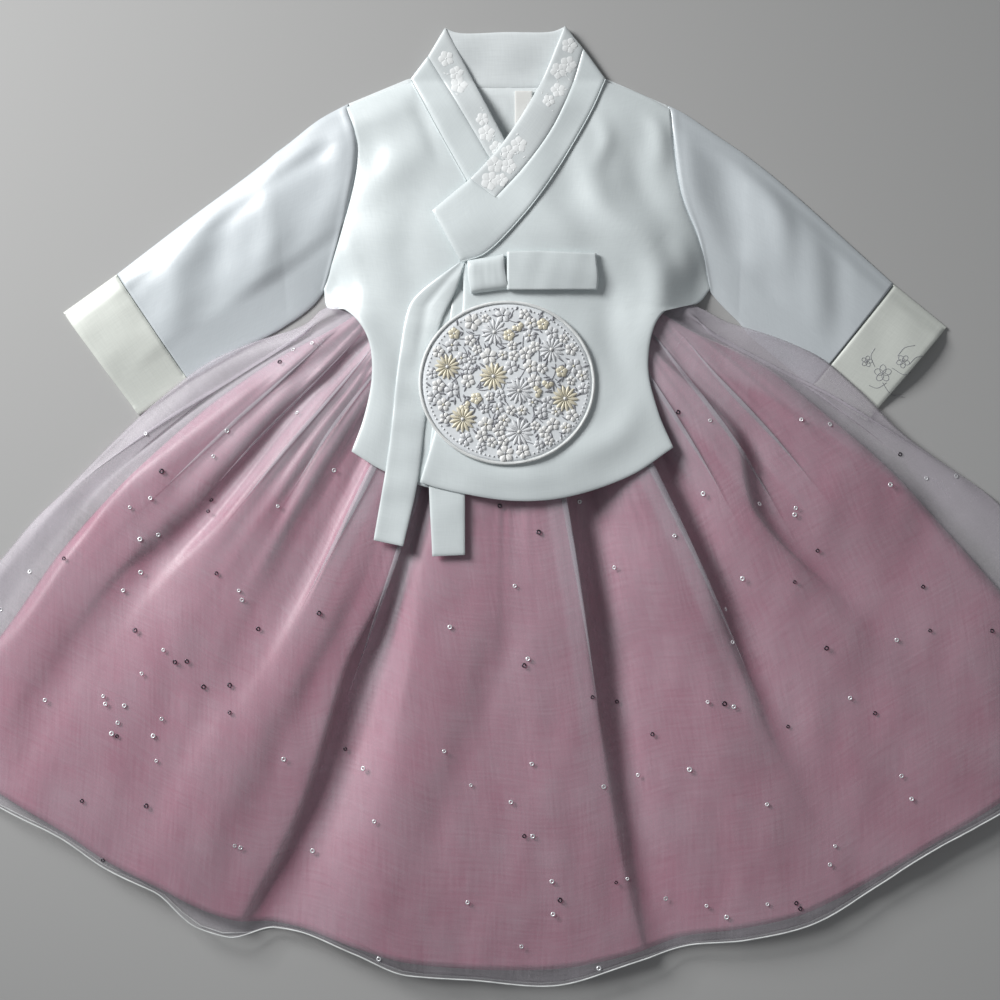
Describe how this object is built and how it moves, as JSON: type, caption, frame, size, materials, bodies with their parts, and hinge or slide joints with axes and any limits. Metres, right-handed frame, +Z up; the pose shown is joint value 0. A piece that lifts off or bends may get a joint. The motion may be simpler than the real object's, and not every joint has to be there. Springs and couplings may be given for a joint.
{
  "type": "child hanbok jacket and skirt laid flat",
  "caption": "Baby's hanbok laid flat: white satin jacket with tied ribbon and embroidered round, over a wide pink skirt with an organza overlay.",
  "frame": {"origin": "centre of the footprint, on the surface the garment lies on", "axes": "+X across the garment to the right as seen from above with the collar at the top, +Y from the hem to the collar, +Z up from the surface"},
  "size_m": [0.9719, 0.72, 0.0332],
  "materials": {
    "satin": "soft white satin with a cool sheen",
    "satin_inside": "white satin, inside and back",
    "cuff_satin": "ivory satin",
    "brocade": "white with a raised white flower pattern",
    "pink_satin": "dusty pink satin",
    "organza": "sheer milky organza with tiny sequins",
    "embroidery": "raised white, silver and pale gold thread",
    "cord": "white cord",
    "label": "blank white woven label",
    "cotton": "white cotton band"
  },
  "bodies": {
    "root": {"jacket_back": "satin_inside", "jacket_front_under": "satin", "jacket_front_over": "satin", "sleeve_left": "satin", "sleeve_right": "satin", "cuff_left": "cuff_satin", "cuff_right": "cuff_satin", "collar_back": "satin_inside", "collar_under_band": "satin", "collar_under_strip": "brocade", "collar_over_band": "satin", "collar_over_strip": "brocade", "medallion": "embroidery", "medallion_piping": "cord", "tie_knot": "satin", "tie_loop": "satin", "tie_long": "satin", "tie_short": "satin", "size_label": "label", "skirt_waistband": "cotton", "skirt_lining_front": "pink_satin", "skirt_lining_back": "pink_satin", "skirt_overlay_front": "organza", "skirt_overlay_back": "organza"}
  },
  "joints": []
}
